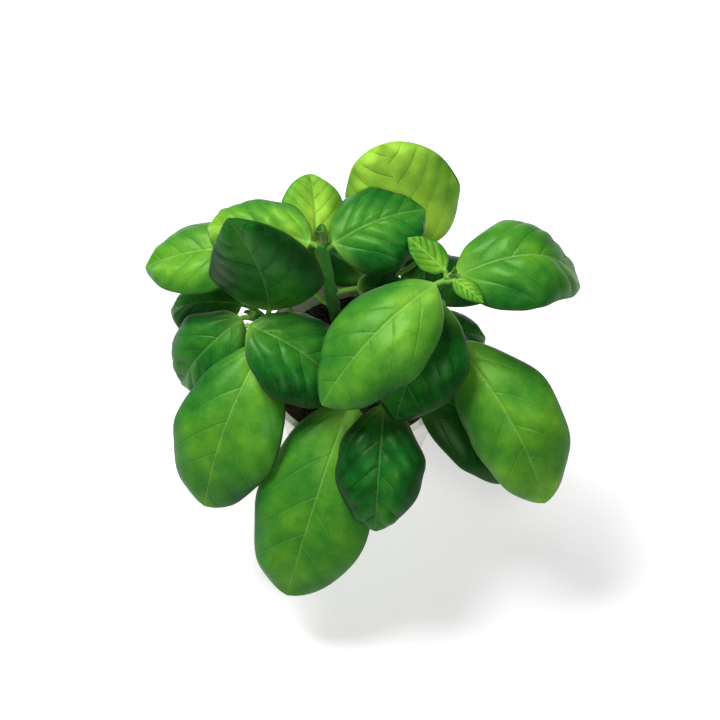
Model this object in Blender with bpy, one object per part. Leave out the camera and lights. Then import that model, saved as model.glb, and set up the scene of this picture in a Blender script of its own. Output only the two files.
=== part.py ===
"""Potted basil: a plain round herb pot, its soil, five rooted stems, their leaves and shoot tips.

Metres, +Z up.  The origin is the middle of the pot's underside, and -Y is the front.  Every leaf is one
closed thin solid, petiole and blade together, that starts a small clearance away from its own stem.
"""
import math
from dataclasses import dataclass

import bmesh
import bpy
import numpy as np
from mathutils import Vector

# ---- pot and soil ------------------------------------------------------------------------------
CLEARANCE = 0.0003          # between any two pieces that touch in the real plant
POT_HEIGHT = 0.075
POT_BASE_RADIUS = 0.0305
POT_RIM_RADIUS = 0.045
POT_WALL = 0.0018
POT_FLOOR = 0.0022
RIM_BAND_HEIGHT = 0.012     # the thicker band round the mouth
RIM_BAND_STEP = 0.0014      # how far the band stands out from the wall under it
FOOT_BEVEL = 0.0012
HOLE_COUNT = 6
HOLE_RADIUS = 0.0032
HOLE_CIRCLE_RADIUS = 0.0205
SOIL_BELOW_RIM = 0.010
LIP_SHARE = 0.25            # of the rim's thickness, taken off each of its two top edges
POT_SIDES = 48
HOLE_SIDES = 12

# ---- stems -------------------------------------------------------------------------------------
ROOT_DEPTH = 0.026          # how far each tap root goes down into the soil
ROOT_TIP_RADIUS = 0.0007
ROOT_WAIST = 0.6            # share of the root's depth, and of the stem's radius, where its taper changes
ROOT_NECK = 0.002           # depth at which the root has the stem's full radius
STEM_SIDES = 8
STEM_RINGS = 9
BUD_WIDTH_SHARE = 0.54      # of its length
BUD_THICKNESS_SHARE = 0.38
BUD_ENDS = (0.22, 0.98)     # the stretch of a half sine wave that its outline follows, foot to point
BUD_FULLNESS = 0.8          # power of that wave: lower is fuller
BUD_RINGS = 6

# ---- leaves ------------------------------------------------------------------------------------
PETIOLE_RADIUS = 0.0010
LEAF_THICKNESS = 0.0008
LEAF_SIDES = 8              # points round a leaf's section
PETIOLE_RINGS = 4
PETIOLE_HANDLES = (0.3, 0.35)   # of its length: how far it keeps its direction at the stem and the blade
BLADE_RINGS = 11
NECK_SHARE = 0.05           # how quickly the round petiole flattens into the blade
TIP_HALF_WIDTH = 0.0002

SHARP_ANGLE = 40            # degrees: edges that turn more than this are shaded sharp
MM = 0.001
SOIL_TOP = POT_HEIGHT - SOIL_BELOW_RIM

# Each stem: foot (x, y) on the soil, the point it bends towards, and its apex, in mm above the soil;
# then its radius at the foot and at the apex, in mm.
STEMS = {
    "a": ((-4, 6), (-11, 7, 38), (-15, 20, 76), 3.0, 2.1),
    "b": ((6, 0), (16, 0, 40), (40, 0, 80), 2.6, 1.4),
    "c": ((-8, -3), (-24, -3, 26), (-46, 3, 44), 2.4, 1.5),
    "d": ((3, -8), (3, -12, 20), (3, -27, 33), 2.3, 1.5),
    "e": ((6, 12), (8, 18, 22), (17, 29, 40), 2.3, 1.4),
}


@dataclass
class Leaf:
    """One leaf.  Headings turn anticlockwise from +X and pitches rise from level, in degrees.

    arch and bend are shares of the blade's length: how far the midrib bows towards the upper face, and
    how far it bows sideways.  cup is the angle in degrees that half the blade curls down from the
    midrib, and roll turns the whole blade about its chord.  heel and point are the powers of its
    outline at the base and at the tip: lower is rounder.
    """
    stem: str
    share: float            # where it leaves the stem, as a share of the way from foot to apex
    petiole: tuple          # heading, pitch, length in mm, from the stem's axis to the blade
    blade: tuple            # heading, pitch, length in mm, from the blade's base to its tip
    width: float            # mm
    arch: float = 0.1
    roll: float = 0.0
    cup: float = 25.0
    bend: float = 0.0
    heel: float = 0.52
    point: float = 0.56


LEAVES = {
    # the tallest stem, at the back left of the middle
    "leaf_a_left": Leaf("a", 0.97, (165, 12, 6), (162, -12, 49), 35, arch=0.12, roll=-12, cup=22, heel=0.42),
    "leaf_a_right": Leaf("a", 0.97, (-6, 35, 5.5), (21, 5, 43), 50, arch=0.14, cup=42, heel=0.38),
    "leaf_a_back": Leaf("a", 0.78, (110, 0, 14), (95, 20, 34), 32, arch=0.05, roll=24, cup=12, heel=0.44),
    "leaf_a_far_left": Leaf("a", 0.53, (152, 28, 41), (-179, -15, 54), 40, arch=0.12, cup=35),
    "leaf_a_inner": Leaf("a", 0.62, (10, 5, 12), (8, -25, 28), 26, arch=0.1, cup=25),
    "leaf_a_rear": Leaf("a", 0.66, (120, 0, 14), (125, -30, 38), 30, arch=0.2),
    # the right-hand stem
    "leaf_b_front": Leaf("b", 0.97, (-150, 10, 6), (-138, -23, 71), 52, arch=0.16, cup=42),
    "leaf_b_under": Leaf("b", 0.82, (-40, -10, 7), (-115, -27, 54), 47, arch=0.15, cup=35),
    "leaf_b_right": Leaf("b", 0.97, (20, 5, 4), (8, -20, 60), 50, arch=0.36, cup=35, heel=0.42, point=0.7),
    "leaf_b_small_left": Leaf("b", 0.985, (120, 30, 4), (141, 17, 21), 15, arch=0.05, cup=-10),
    "leaf_b_small_right": Leaf("b", 0.985, (-55, 42, 6.5), (-43, 0, 16), 10, arch=0.1, cup=10),
    "leaf_b_low_right": Leaf(
        "b", 0.60, (-28, -14, 24), (-56, -29, 81), 49, arch=0.22, roll=25, cup=45, bend=0.08, point=0.45),
    "leaf_b_low_front": Leaf("b", 0.35, (-59, -15, 27), (-25, -37, 64), 45, arch=0.2, cup=25),
    "leaf_b_rear": Leaf("b", 0.50, (50, 3, 18), (38, -28, 42), 32, arch=0.2, cup=25),
    "leaf_b_lowest": Leaf("b", 0.28, (15, 5, 12), (10, -16, 36), 30, arch=0.14, cup=25),
    # the left-hand stem
    "leaf_c_upright": Leaf(
        "c", 0.90, (30, 66, 8), (148, 72, 61), 52, arch=0.05, roll=-62, cup=20, bend=-0.08, heel=0.42,
        point=0.8),
    "leaf_c_front": Leaf("c", 0.82, (-140, 47, 17.5), (-29, -22, 53), 48, arch=0.18, cup=35),
    "leaf_c_left": Leaf("c", 0.95, (172, -18, 8), (-153, -48, 47), 38, arch=0.2, roll=-16, cup=28),
    "leaf_c_under_left": Leaf("c", 0.75, (135, -12, 24), (171, -22, 36), 33, arch=0.12, cup=25),
    "leaf_c_low_front": Leaf("c", 0.70, (-129, 26, 14), (-116, -38, 78), 52, arch=0.18, cup=26, point=0.45),
    "leaf_c_rear": Leaf("c", 0.60, (95, 5, 18), (118, -22, 42), 32, arch=0.2, cup=25),
    "leaf_c_lowest": Leaf("c", 0.35, (-165, 10, 14), (-158, -25, 38), 30, arch=0.2, cup=25),
    # the short front stem
    "leaf_d_right": Leaf("d", 0.95, (-56, 18, 17), (-95, -36, 56), 41, arch=0.22, cup=28),
    "leaf_d_left": Leaf(
        "d", 0.75, (-119, 0, 13), (-113, -39, 93), 56, arch=0.15, roll=-8, cup=30, point=0.45),
    # the short back stem
    "leaf_e_upright": Leaf("e", 0.95, (35, 20, 17), (129, 60, 58), 53, arch=0.05, roll=-33, cup=26),
    "leaf_e_back": Leaf("e", 0.85, (85, 5, 10), (82, -30, 42), 36, arch=0.2, cup=25),
    "leaf_e_left": Leaf("e", 0.75, (150, 5, 10), (140, -20, 40), 30, arch=0.2, cup=25),
    "leaf_e_right": Leaf("e", 0.65, (30, 0, 12), (42, -28, 38), 32, arch=0.2, cup=25),
}

# Shoot tips: the stem each one ends, the heading its flat side faces, its lean in degrees, its length in mm.
BUDS = {
    "shoot_tip_a": ("a", 260, 8, 9.5),
    "shoot_tip_b": ("b", 300, 10, 6.0),
    "shoot_tip_c": ("c", 180, 20, 4.5),
    "shoot_tip_d": ("d", 270, 20, 7.0),
    "shoot_tip_e": ("e", 225, 35, 6.0),
}

# name: base colour, roughness, metallic
FINISHES = {
    "pot": ((0.86, 0.84, 0.79), 0.45, 0.0),
    "soil": ((0.050, 0.032, 0.022), 0.95, 0.0),
    "stem": ((0.16, 0.34, 0.06), 0.50, 0.0),
    "leaf": ((0.07, 0.27, 0.03), 0.38, 0.0),
    "young_leaf": ((0.20, 0.45, 0.04), 0.38, 0.0),
}
YOUNG_LEAVES = (
    "leaf_a_left", "leaf_a_back", "leaf_a_far_left", "leaf_e_upright", "leaf_b_small_left",
    "leaf_b_small_right", "leaf_b_right",
)


# ---- small helpers -----------------------------------------------------------------------------
def clear_scene():
    for item in list(bpy.data.objects):
        bpy.data.objects.remove(item, do_unlink=True)


def unit(vector):
    """The vector, or each row of an array of vectors, at length one."""
    return vector / np.linalg.norm(vector, axis=-1, keepdims=True)


def direction(heading, pitch):
    """Unit vector at a heading and a pitch, both in degrees."""
    heading = math.radians(heading)
    pitch = math.radians(pitch)
    level = math.cos(pitch)
    return np.array([level * math.cos(heading), level * math.sin(heading), math.sin(pitch)])


def turned(vectors, axes, angles):
    """Vectors turned about axes that are at right angles to them, by angles in radians."""
    return vectors * np.cos(angles) + np.cross(axes, vectors) * np.sin(angles)


def material(name, finish):
    colour, roughness, metallic = FINISHES[finish]
    made = bpy.data.materials.new(name)
    made.use_nodes = True
    shader = made.node_tree.nodes["Principled BSDF"]
    shader.inputs["Base Color"].default_value = (*colour, 1.0)
    shader.inputs["Roughness"].default_value = roughness
    shader.inputs["Metallic"].default_value = metallic
    return made


def add_object(name, mesh, finish):
    made = bpy.data.objects.new(name, mesh)
    bpy.context.scene.collection.objects.link(made)
    mesh.materials.append(material("mat_" + name, finish))
    mesh.shade_smooth()
    mesh.set_sharp_from_angle(angle=math.radians(SHARP_ANGLE))
    return made


def loft(name, rings):
    """Closed mesh through rings of points, each ring running anticlockwise seen from the last ring."""
    count, sides, _ = rings.shape
    points = [Vector(point) for point in rings.reshape(-1, 3)]
    faces = [tuple(range(sides))[::-1]]
    for ring in range(count - 1):
        for side in range(sides):
            here = ring * sides + side
            beside = ring * sides + (side + 1) % sides
            faces.append((here, beside, beside + sides, here + sides))
    last = (count - 1) * sides
    faces.append(tuple(range(last, last + sides)))
    mesh = bpy.data.meshes.new(name)
    mesh.from_pydata(points, [], faces)
    mesh.validate()
    return mesh


def turned_profile(name, profile, sides):
    """Closed mesh of a profile of (radius, height) points turned about the Z axis."""
    angles = np.linspace(0.0, 2.0 * math.pi, sides, endpoint=False)
    made = bmesh.new()
    rings = []
    for radius, height in profile:
        if radius == 0.0:
            rings.append([made.verts.new((0.0, 0.0, height))])
        else:
            ring = [made.verts.new((radius * math.cos(a), radius * math.sin(a), height)) for a in angles]
            rings.append(ring)
    for lower, upper in zip(rings, rings[1:]):
        for side in range(sides):
            after = (side + 1) % sides
            corners = [lower[side % len(lower)], lower[after % len(lower)]]
            corners += [upper[after % len(upper)], upper[side % len(upper)]]
            made.faces.new(list(dict.fromkeys(corners)))
    bmesh.ops.recalc_face_normals(made, faces=made.faces[:])
    mesh = bpy.data.meshes.new(name)
    made.to_mesh(mesh)
    made.free()
    return mesh


def cut(target, cutter):
    """Take the cutter's shape out of the target with an exact Boolean that stays on the object."""
    cutter.hide_render = True
    cutter.display_type = "WIRE"
    modifier = target.modifiers.new("cut_" + cutter.name, "BOOLEAN")
    modifier.operation = "DIFFERENCE"
    modifier.solver = "EXACT"
    modifier.object = cutter


# ---- pot and soil ------------------------------------------------------------------------------
def pot_wall_radius(height):
    """Outer radius of the pot's tapered wall, under the rim band, at a height."""
    wall_top = POT_RIM_RADIUS - RIM_BAND_STEP
    return POT_BASE_RADIUS + (wall_top - POT_BASE_RADIUS) * height / POT_HEIGHT


def make_pot():
    band_foot = POT_HEIGHT - RIM_BAND_HEIGHT
    inner_floor = pot_wall_radius(POT_FLOOR) - POT_WALL
    inner_mouth = pot_wall_radius(POT_HEIGHT) - POT_WALL
    lip = LIP_SHARE * (POT_RIM_RADIUS - inner_mouth)
    profile = [
        (0.0, 0.0),
        (POT_BASE_RADIUS - FOOT_BEVEL, 0.0),
        (pot_wall_radius(FOOT_BEVEL), FOOT_BEVEL),
        (pot_wall_radius(band_foot), band_foot),
        (pot_wall_radius(band_foot) + RIM_BAND_STEP, band_foot + 0.5 * RIM_BAND_STEP),
        (POT_RIM_RADIUS, POT_HEIGHT - lip),
        (POT_RIM_RADIUS - lip, POT_HEIGHT),
        (inner_mouth + lip, POT_HEIGHT),
        (inner_mouth, POT_HEIGHT - lip),
        (inner_floor, POT_FLOOR),
        (0.0, POT_FLOOR),
    ]
    pot = add_object("pot", turned_profile("pot", profile, POT_SIDES), "pot")
    holes = bmesh.new()
    for index in range(HOLE_COUNT):
        angle = 2.0 * math.pi * (index + 0.5) / HOLE_COUNT
        place = Vector((math.cos(angle), math.sin(angle), 0.0)) * HOLE_CIRCLE_RADIUS
        made = bmesh.ops.create_cone(
            holes, cap_ends=True, segments=HOLE_SIDES, radius1=HOLE_RADIUS, radius2=HOLE_RADIUS,
            depth=4 * POT_FLOOR)
        bmesh.ops.translate(holes, verts=made["verts"], vec=place)
    mesh = bpy.data.meshes.new("drain_holes")
    holes.to_mesh(mesh)
    holes.free()
    cutter = bpy.data.objects.new("cutter_drain_holes", mesh)
    bpy.context.scene.collection.objects.link(cutter)
    cut(pot, cutter)


def make_soil():
    """The root ball: a tapered plug that stays a clearance off the pot, with a pit for each tap root."""
    foot = POT_FLOOR + CLEARANCE
    gap = POT_WALL + CLEARANCE
    profile = [
        (0.0, foot),
        (pot_wall_radius(foot) - gap, foot),
        (pot_wall_radius(SOIL_TOP) - gap, SOIL_TOP),
        (0.0, SOIL_TOP),
    ]
    soil = add_object("soil", turned_profile("soil", profile, POT_SIDES), "soil")
    for name in STEMS:
        rings = stem_rings(name, CLEARANCE)
        cutter = bpy.data.objects.new("cutter_pit_" + name, loft("pit_" + name, rings))
        bpy.context.scene.collection.objects.link(cutter)
        cut(soil, cutter)


# ---- stems and shoot tips ----------------------------------------------------------------------
def stem_point(name, share):
    """Centre, axis and radius of a stem at shares of its way up, on a three-point Bezier curve."""
    foot, middle, apex, foot_radius, apex_radius = STEMS[name]
    foot = np.array([*foot, 0.0]) * MM
    middle = np.array(middle) * MM
    apex = np.array(apex) * MM
    share = np.asarray(share)[..., None]
    centre = foot * (1 - share) ** 2 + middle * 2 * share * (1 - share) + apex * share ** 2
    axis = unit((middle - foot) * (1 - share) + (apex - middle) * share)
    radius = (foot_radius + (apex_radius - foot_radius) * share[..., 0]) * MM
    return centre + np.array([0.0, 0.0, SOIL_TOP]), axis, radius


def circle_rings(centres, axes, radii, sides):
    """Rings of points round centres, square to axes, all starting from the side that faces +X."""
    across = unit(np.cross(axes, np.array([0.0, 1.0, 0.0])))
    along = np.cross(axes, across)
    angles = np.linspace(0.0, 2.0 * math.pi, sides, endpoint=False)[None, :, None]
    spread = across[:, None] * np.cos(angles) + along[:, None] * np.sin(angles)
    return centres[:, None] + spread * radii[:, None, None]


def stem_rings(name, extra):
    """Rings from the tap root's tip to the apex; extra widens and lengthens them, for the soil's pit."""
    centres, axes, radii = stem_point(name, np.linspace(0.0, 1.0, STEM_RINGS))
    foot = centres[0]
    depths = np.array([ROOT_DEPTH + extra, ROOT_WAIST * ROOT_DEPTH, ROOT_NECK])
    root_centres = foot - depths[:, None] * np.array([0.0, 0.0, 1.0])
    root_radii = np.array([ROOT_TIP_RADIUS, ROOT_WAIST * radii[0], radii[0]])
    root_axes = np.tile([0.0, 0.0, 1.0], (3, 1))
    centres = np.concatenate([root_centres, centres])
    axes = np.concatenate([root_axes, axes])
    radii = np.concatenate([root_radii, radii]) + extra
    return circle_rings(centres, axes, radii, STEM_SIDES)


def make_stem(name):
    add_object("stem_" + name, loft("stem_" + name, stem_rings(name, 0.0)), "stem")


def make_bud(name):
    """A shoot tip: a flattened pointed egg, its section an ellipse, that stands just off its stem's end."""
    stem, facing, lean, length = BUDS[name]
    length = length * MM
    end, axis, _ = stem_point(stem, 1.0)
    face = direction(facing, 0)
    up = unit(axis + math.tan(math.radians(lean)) * face)
    side = unit(np.cross(up, face))
    face = np.cross(side, up)
    share = np.linspace(0.0, 1.0, BUD_RINGS)
    swell = np.sin(math.pi * np.interp(share, (0.0, 1.0), BUD_ENDS)) ** BUD_FULLNESS
    foot_half_width = 0.5 * BUD_WIDTH_SHARE * length * swell[0]
    start = end + axis * foot_half_width * math.sin(math.radians(lean))
    angles = np.linspace(0.0, 2.0 * math.pi, STEM_SIDES, endpoint=False)[None, :, None]
    half_width = 0.5 * BUD_WIDTH_SHARE * length * swell[:, None, None]
    half_depth = 0.5 * BUD_THICKNESS_SHARE * length * swell[:, None, None]
    centres = start + up * (CLEARANCE + length * share)[:, None]
    rings = centres[:, None] - side * half_width * np.cos(angles) + face * half_depth * np.sin(angles)
    add_object(name, loft(name, rings), "young_leaf")


# ---- leaves ------------------------------------------------------------------------------------
def blade_outline(leaf, share):
    """Half width at shares of the blade's length, as a share of its greatest: an egg-shaped outline."""
    widest = leaf.heel / (leaf.heel + leaf.point)
    return (share / widest) ** leaf.heel * ((1 - share) / (1 - widest)) ** leaf.point


def blade_frame(leaf, base, share):
    """Midrib points, and the unit vectors along it, across it and out of the upper face, at shares."""
    heading, pitch, length = leaf.blade
    chord = direction(heading, pitch)
    upward = unit(np.array([0.0, 0.0, 1.0]) - chord * chord[2])
    face = turned(upward, chord, math.radians(leaf.roll))
    across = np.cross(face, chord)
    bow = (4 * share * (1 - share))[:, None]
    shape = share[:, None] * chord + leaf.arch * bow * face + leaf.bend * bow * across
    points = base + length * MM * shape
    along = unit(np.gradient(points, share, axis=0, edge_order=2))
    across = unit(across - along * (along @ across)[:, None])
    return points, along, across, np.cross(along, across)


def leaf_rings(leaf):
    """Rings of a leaf: a round petiole on a Bezier curve, then the blade's thin curled sections."""
    centre, axis, stem_radius = stem_point(leaf.stem, leaf.share)
    heading, pitch, length = leaf.petiole
    reach = direction(heading, pitch)
    outward = unit(reach - axis * (reach @ axis))
    start = centre + outward * (stem_radius + CLEARANCE)
    base = centre + reach * length * MM
    share = 0.5 - 0.5 * np.cos(math.pi * np.linspace(0.0, 1.0, BLADE_RINGS))
    points, along, across, face = blade_frame(leaf, base, share)

    # petiole: leaves the stem squarely and runs into the midrib without a kink
    span = np.linalg.norm(base - start)
    first = start + outward * PETIOLE_HANDLES[0] * span
    second = base - along[0] * PETIOLE_HANDLES[1] * span
    t = np.linspace(0.0, 1.0, PETIOLE_RINGS + 1)[:, None]
    stalk = start * (1 - t) ** 3 + first * 3 * t * (1 - t) ** 2 + second * 3 * t ** 2 * (1 - t) + base * t ** 3
    stalk_along = unit(np.gradient(stalk, t[:, 0], axis=0, edge_order=2))
    stalk_along[0] = outward
    stalk_across = unit(across[0] - stalk_along * (stalk_along @ across[0])[:, None])
    stalk_face = np.cross(stalk_along, stalk_across)

    # half width, half thickness and curl of every section
    half_width = np.hypot(
        0.5 * leaf.width * MM * blade_outline(leaf, share), PETIOLE_RADIUS * (1 - share) + TIP_HALF_WIDTH)
    half_thick = 0.5 * LEAF_THICKNESS + (PETIOLE_RADIUS - 0.5 * LEAF_THICKNESS) * np.exp(-share / NECK_SHARE)
    round_section = np.full(PETIOLE_RINGS, PETIOLE_RADIUS)
    centres = np.concatenate([stalk[:-1], points])
    across = np.concatenate([stalk_across[:-1], across])
    face = np.concatenate([stalk_face[:-1], face])
    half_width = np.concatenate([round_section, half_width])[:, None]
    half_thick = np.concatenate([round_section, half_thick])[:, None]
    curl = np.concatenate([np.zeros(PETIOLE_RINGS), np.full(BLADE_RINGS, math.radians(leaf.cup))])[:, None]

    # each section is a flat ellipse wrapped round a circle, whose radius follows from the curl;
    # np.sinc(u) is sin(pi u) / (pi u), which stays whole where the curl is nought
    angles = np.linspace(0.0, 2.0 * math.pi, LEAF_SIDES, endpoint=False)
    sideways = np.cos(angles)[None, :]
    thick = half_thick * np.sin(angles)[None, :]
    turn = curl * sideways
    x = half_width * sideways * np.sinc(turn / math.pi) + thick * np.sin(turn)
    z = -half_width * sideways * np.sinc(0.5 * turn / math.pi) * np.sin(0.5 * turn) + thick * np.cos(turn)
    return centres[:, None] + across[:, None] * x[..., None] + face[:, None] * z[..., None]


def make_leaf(name):
    finish = "young_leaf" if name in YOUNG_LEAVES else "leaf"
    add_object(name, loft(name, leaf_rings(LEAVES[name])), finish)


clear_scene()
make_pot()
make_soil()
for stem_name in STEMS:
    make_stem(stem_name)
for bud_name in BUDS:
    make_bud(bud_name)
for leaf_name in LEAVES:
    make_leaf(leaf_name)
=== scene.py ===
import math
from dataclasses import dataclass

import bpy
import numpy as np
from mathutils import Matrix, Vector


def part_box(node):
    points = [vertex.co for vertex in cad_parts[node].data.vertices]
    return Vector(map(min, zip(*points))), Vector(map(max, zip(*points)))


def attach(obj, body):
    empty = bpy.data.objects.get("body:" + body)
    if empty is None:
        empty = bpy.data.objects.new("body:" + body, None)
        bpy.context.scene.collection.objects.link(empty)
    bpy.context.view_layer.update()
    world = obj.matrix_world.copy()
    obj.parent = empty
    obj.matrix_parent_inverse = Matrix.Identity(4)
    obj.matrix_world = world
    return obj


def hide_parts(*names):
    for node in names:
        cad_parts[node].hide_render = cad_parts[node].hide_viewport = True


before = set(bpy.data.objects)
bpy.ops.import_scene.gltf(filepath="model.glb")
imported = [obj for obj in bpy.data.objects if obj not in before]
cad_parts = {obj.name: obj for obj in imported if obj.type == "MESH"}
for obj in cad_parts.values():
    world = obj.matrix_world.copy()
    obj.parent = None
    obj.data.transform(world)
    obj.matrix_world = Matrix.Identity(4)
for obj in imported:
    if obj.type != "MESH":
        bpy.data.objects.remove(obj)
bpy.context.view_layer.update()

# Potted basil: quilted glossy leaves on square green stems, in soil in a plain round herb pot.
# Every leaf is one closed thin surface of two parameters, one along it and one round its section.  It
# starts as a round petiole inside its stem and flattens into the blade.  Metres, +Z up, -Y the front.

# ---- sizes -------------------------------------------------------------------------------------
MM = 0.001
POT_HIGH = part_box("pot")[1]
SOIL_LOW, SOIL_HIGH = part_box("soil")
SOIL_TOP = SOIL_HIGH.z
UP = np.array([0.0, 0.0, 1.0])

LEAF_THICKNESS = 0.0005
PETIOLE_RADIUS = 0.0010
PETIOLE_FLARE = 0.5         # how much thicker the petiole is where it leaves the stem
PETIOLE_HANDLES = (0.3, 0.35)
NECK_SHARE = 0.05           # how quickly the round petiole flattens into the blade
TIP_HALF_WIDTH = 0.0002
TIP_THINNING = 0.5          # share of its thickness that a blade loses by its tip
RAGGEDNESS = 0.025          # how far the outline wanders, as a share of its width
ARCH_HEIGHT = 1.2           # mm that each half of a full blade bellies up
STEEP_REACH = 0.09          # how far from a lateral the swelling's steep part reaches, in vein gaps
RIPPLES = 2.6               # waves along each margin
MIDRIB_GROOVE = 0.4         # mm deep above the midrib
MIDRIB_RIB = 0.9            # mm proud under it, at the base
VEIN_RIB = 0.18             # mm proud under each lateral
VEIN_PAIRS = 4.4            # lateral veins on each side of a full leaf
FIRST_VEIN = (0.88, 0.55)   # phase at the blade's base, left and right: the first lateral is where it is 1
VEIN_REACH = (0.70, 0.60)   # how far forward a lateral runs, for its distance out and for its square

PETIOLE_RINGS = 10
BLADE_RINGS = 84
HALF_COLUMNS = 26           # points from the midrib to each margin
COLUMN_POWER = 1.5          # packs them towards the midrib

# Each stem: foot (x, y) on the soil, the point it bends towards, and its apex, in mm above the soil;
# then its radius at the foot and at the apex, in mm.
STEMS = {
    "a": ((-4, 6), (-11, 7, 38), (-15, 20, 76), 3.0, 2.1),
    "b": ((6, 0), (16, 0, 40), (40, 0, 80), 2.6, 1.4),
    "c": ((-8, -3), (-24, -3, 26), (-46, 3, 44), 2.4, 1.5),
    "d": ((3, -8), (3, -12, 20), (3, -27, 33), 2.3, 1.5),
    "e": ((6, 12), (8, 18, 22), (17, 29, 40), 2.3, 1.4),
}
ROOT_DEPTH = 0.026
ROOT_TAPER = 0.75           # share of its radius that a tap root loses by its end
NODE_SWELLING = 0.14        # how much thicker a stem is where leaves leave it
NODE_REACH = 0.025          # how far from there it swells, as a share of the stem's length
STEM_UNEVENNESS = 0.03
SQUARENESS = 0.09           # c in the section's radius r (1 + c cos 4a)
SOCKET_SHARE = 0.6          # how far out from the stem's axis a petiole starts, in stem radii

STEM_RINGS = 90
STEM_SIDES = 40
ROOT_RINGS = 16


@dataclass
class Leaf:
    """One leaf.  Headings turn anticlockwise from +X and pitches rise from level, in degrees.

    arch and bend are shares of the blade's length: how far the midrib bows towards the upper face, and
    how far it bows sideways.  cup is the angle in degrees that half the blade curls down from the
    midrib, rim is what its margin curls down beyond that, and roll turns the whole blade about its
    chord.  heel and point are the powers of its outline at the base and at the tip: lower is rounder.
    tone runs from 0, an old deep green leaf, to 1, a young lime one.  pucker is how high the blade
    swells between its veins and wave how far its margin ripples, both in mm.
    """
    stem: str
    share: float            # where it leaves the stem, as a share of the way from foot to apex
    petiole: tuple          # heading, pitch, length in mm, from the stem's axis to the blade
    blade: tuple            # heading, pitch, length in mm, from the blade's base to its tip
    width: float            # mm
    tone: float = 0.4
    arch: float = 0.1
    roll: float = 0.0
    cup: float = 25.0
    bend: float = 0.0
    heel: float = 0.52
    point: float = 0.56
    rim: float = 14.0
    pucker: float = 0.3
    wave: float = 0.5


LEAVES = {
    # the tallest stem, at the back left of the middle
    "leaf_a_left": Leaf("a", 0.97, (165, 12, 6), (162, -12, 49), 35, 0.54, arch=0.12, roll=-12, cup=22,
                        heel=0.42, pucker=1.1),
    "leaf_a_right": Leaf("a", 0.97, (-6, 35, 5.5), (21, 5, 43), 50, 0.28, arch=0.14, cup=42, heel=0.38,
                         pucker=0.9, wave=0.8),
    "leaf_a_back": Leaf("a", 0.78, (110, 0, 14), (95, 20, 34), 32, 0.67, arch=0.05, roll=24, cup=12,
                        heel=0.44),
    "leaf_a_far_left": Leaf("a", 0.53, (152, 28, 41), (-179, -15, 54), 40, 0.48, arch=0.12, cup=35),
    "leaf_a_inner": Leaf("a", 0.62, (10, 5, 12), (8, -25, 28), 26, 0.05),
    "leaf_a_rear": Leaf("a", 0.66, (120, 0, 14), (125, -30, 38), 30, 0.35, arch=0.2),
    # the right-hand stem
    "leaf_b_front": Leaf("b", 0.97, (-150, 10, 6), (-138, -23, 71), 52, 0.44, arch=0.16, cup=42),
    "leaf_b_under": Leaf("b", 0.82, (-40, -10, 7), (-115, -27, 54), 47, 0.15, arch=0.15, cup=35),
    "leaf_b_right": Leaf("b", 0.97, (20, 5, 4), (8, -20, 60), 50, 0.42, arch=0.36, cup=35, heel=0.42,
                         point=0.7, pucker=0.8, wave=0.8),
    "leaf_b_small_left": Leaf("b", 0.985, (120, 30, 4), (141, 17, 21), 15, 0.64, arch=0.05, cup=-10,
                              point=0.8, rim=0, pucker=1.8, wave=0.8),
    "leaf_b_small_right": Leaf("b", 0.985, (-55, 42, 6.5), (-43, 0, 16), 10, 0.62, cup=10,
                               point=0.8, rim=0, pucker=1.8, wave=0.8),
    "leaf_b_low_right": Leaf("b", 0.60, (-28, -14, 24), (-56, -29, 81), 49, 0.52, arch=0.22, roll=25,
                             cup=45, bend=0.08, point=0.45),
    "leaf_b_low_front": Leaf("b", 0.35, (-59, -15, 27), (-25, -37, 64), 45, 0.05, arch=0.2),
    "leaf_b_rear": Leaf("b", 0.50, (50, 3, 18), (38, -28, 42), 32, 0.20, arch=0.2),
    "leaf_b_lowest": Leaf("b", 0.28, (15, 5, 12), (10, -16, 36), 30, 0.20, arch=0.14),
    # the left-hand stem
    "leaf_c_upright": Leaf("c", 0.90, (30, 66, 8), (148, 72, 61), 52, 0.16, arch=0.05, roll=-62, cup=20,
                           bend=-0.08, heel=0.42, point=0.8, pucker=0.6),
    "leaf_c_front": Leaf("c", 0.82, (-140, 47, 17.5), (-29, -22, 53), 48, 0.22, arch=0.18, cup=35,
                         pucker=0.9, wave=0.7),
    "leaf_c_left": Leaf("c", 0.95, (172, -18, 8), (-153, -48, 47), 38, 0.20, arch=0.2, roll=-16, cup=28,
                        pucker=0.5),
    "leaf_c_under_left": Leaf("c", 0.75, (135, -12, 24), (171, -22, 36), 33, 0.12, arch=0.12, wave=1.0),
    "leaf_c_low_front": Leaf("c", 0.70, (-129, 26, 14), (-116, -38, 78), 52, 0.45, arch=0.18, cup=26,
                             point=0.45),
    "leaf_c_rear": Leaf("c", 0.60, (95, 5, 18), (118, -22, 42), 32, 0.20, arch=0.2),
    "leaf_c_lowest": Leaf("c", 0.35, (-165, 10, 14), (-158, -25, 38), 30, 0.15, arch=0.2),
    # the short front stem
    "leaf_d_right": Leaf("d", 0.95, (-56, 18, 17), (-95, -36, 56), 41, 0.06, arch=0.22, cup=28,
                         pucker=0.9, wave=0.8),
    "leaf_d_left": Leaf("d", 0.75, (-119, 0, 13), (-113, -39, 93), 56, 0.45, arch=0.15, roll=-8, cup=30,
                        point=0.45),
    # the short back stem
    "leaf_e_upright": Leaf("e", 0.95, (35, 20, 17), (129, 60, 58), 53, 0.97, arch=0.05, roll=-33, cup=26,
                           pucker=0.6, wave=0.9),
    "leaf_e_back": Leaf("e", 0.85, (85, 5, 10), (82, -30, 42), 36, 0.35, arch=0.2),
    "leaf_e_left": Leaf("e", 0.75, (150, 5, 10), (140, -20, 40), 30, 0.12, arch=0.2),
    "leaf_e_right": Leaf("e", 0.65, (30, 0, 12), (42, -28, 38), 32, 0.10, arch=0.2),
}

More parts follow.
